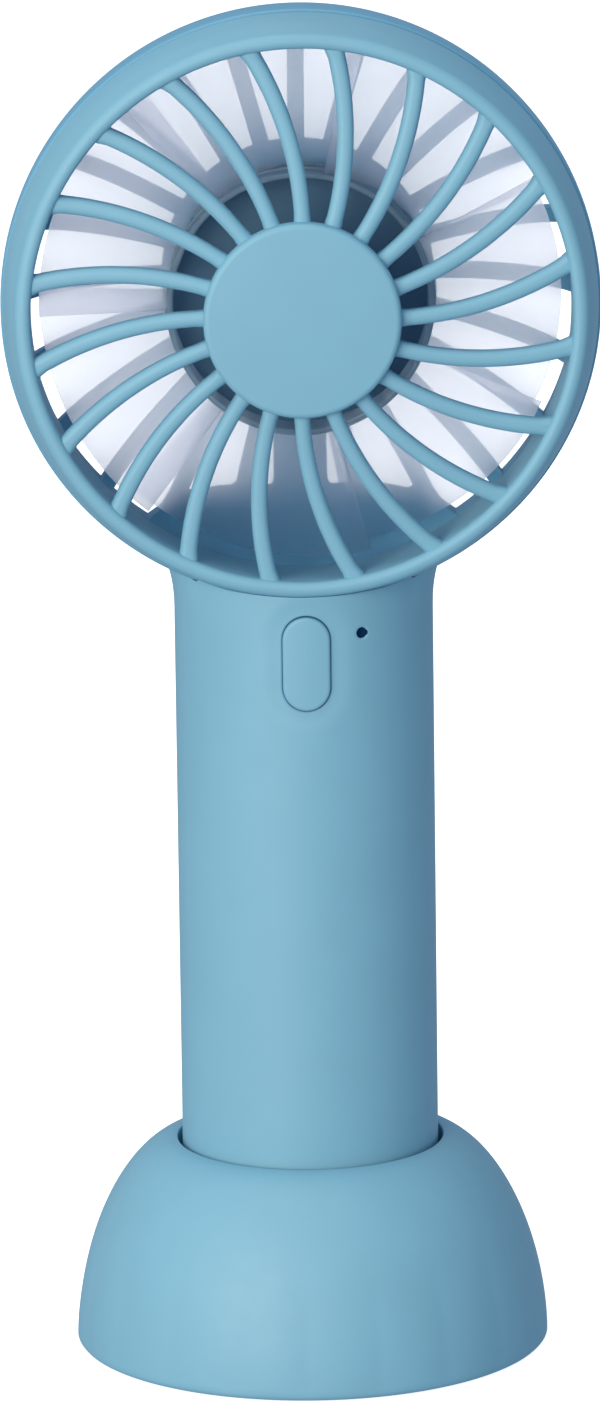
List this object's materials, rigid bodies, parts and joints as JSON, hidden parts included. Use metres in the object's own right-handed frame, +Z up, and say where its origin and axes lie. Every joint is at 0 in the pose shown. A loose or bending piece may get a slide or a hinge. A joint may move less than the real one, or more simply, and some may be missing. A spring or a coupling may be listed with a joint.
{
  "type": "handheld electric fan",
  "caption": "Cordless hand fan with a round caged head on a cylindrical battery handle, standing in a domed weighted base.",
  "frame": {"origin": "centre of the base's underside, on the surface it stands on", "axes": "+Z up along the handle, -Y the way the grille faces, +X to the right seen from the front"},
  "size_m": [0.1, 0.0806, 0.232],
  "materials": {
    "shell_blue": "fine satin moulded ABS, light blue",
    "plate_blue": "plain moulded ABS",
    "weight_iron": "dark plated",
    "steel": "plated steel",
    "brass": "turned",
    "copper": "enamelled winding wire",
    "board_green": "solder mask",
    "lead_sleeve": "PVC insulation",
    "black_plastic": "moulded nylon",
    "led_lens": "clear moulded acrylic",
    "cell_wrap": "shrink sleeve",
    "foam_dark": "closed-cell foam",
    "blade_clear": "translucent frosted plastic"
  },
  "bodies": {
    "base": {"base_shell": "shell_blue", "base_plate": "plate_blue", "base_weight": "weight_iron", "base_screws": "steel", "foot_pad": "foam_dark"},
    "fan": {"rear_shell": "shell_blue", "handle_front": "shell_blue", "handle_cap": "shell_blue", "lead_cover": "shell_blue", "grille_catch": "shell_blue", "bearing_tube": "brass", "front_bearing": "steel", "rear_bearing": "steel", "stator_core": "steel", "stator_coils": "copper", "motor_board": "board_green", "motor_leads": "lead_sleeve", "main_board": "board_green", "board_screws": "steel", "tact_switch": "black_plastic", "status_led": "led_lens", "light_pipe": "led_lens", "usb_socket": "steel", "usb_board": "board_green", "charge_leads": "lead_sleeve", "battery_cell": "cell_wrap", "battery_cradle": "black_plastic", "battery_pad": "foam_dark", "battery_tabs": "steel", "battery_leads": "lead_sleeve"},
    "grille": {"front_grille": "shell_blue", "hub_cap": "shell_blue"},
    "rotor": {"impeller": "blade_clear", "rotor_yoke": "steel", "magnet_ring": "weight_iron", "motor_shaft": "steel", "shaft_clip": "steel"},
    "button": {"power_button": "shell_blue"}
  },
  "joints": [
    {"name": "fan_lift", "type": "slide", "parent": "base", "child": "fan", "axis": [0, 0, 1], "range_m": [0, 0.04]},
    {"name": "grille_twist", "type": "hinge", "parent": "fan", "child": "grille", "pos_m": [0, -0.02, 0.182], "axis": [0, -1, 0], "range_deg": [0, 10]},
    {"name": "rotor_spin", "type": "hinge", "parent": "fan", "child": "rotor", "pos_m": [0, 0, 0.182], "axis": [0, -1, 0], "continuous": true},
    {"name": "button_press", "type": "slide", "parent": "fan", "child": "button", "axis": [0, 1, 0], "range_m": [0, 0.0004], "stiffness_N_per_m": 2000, "springref_m": -0.0003}
  ]
}
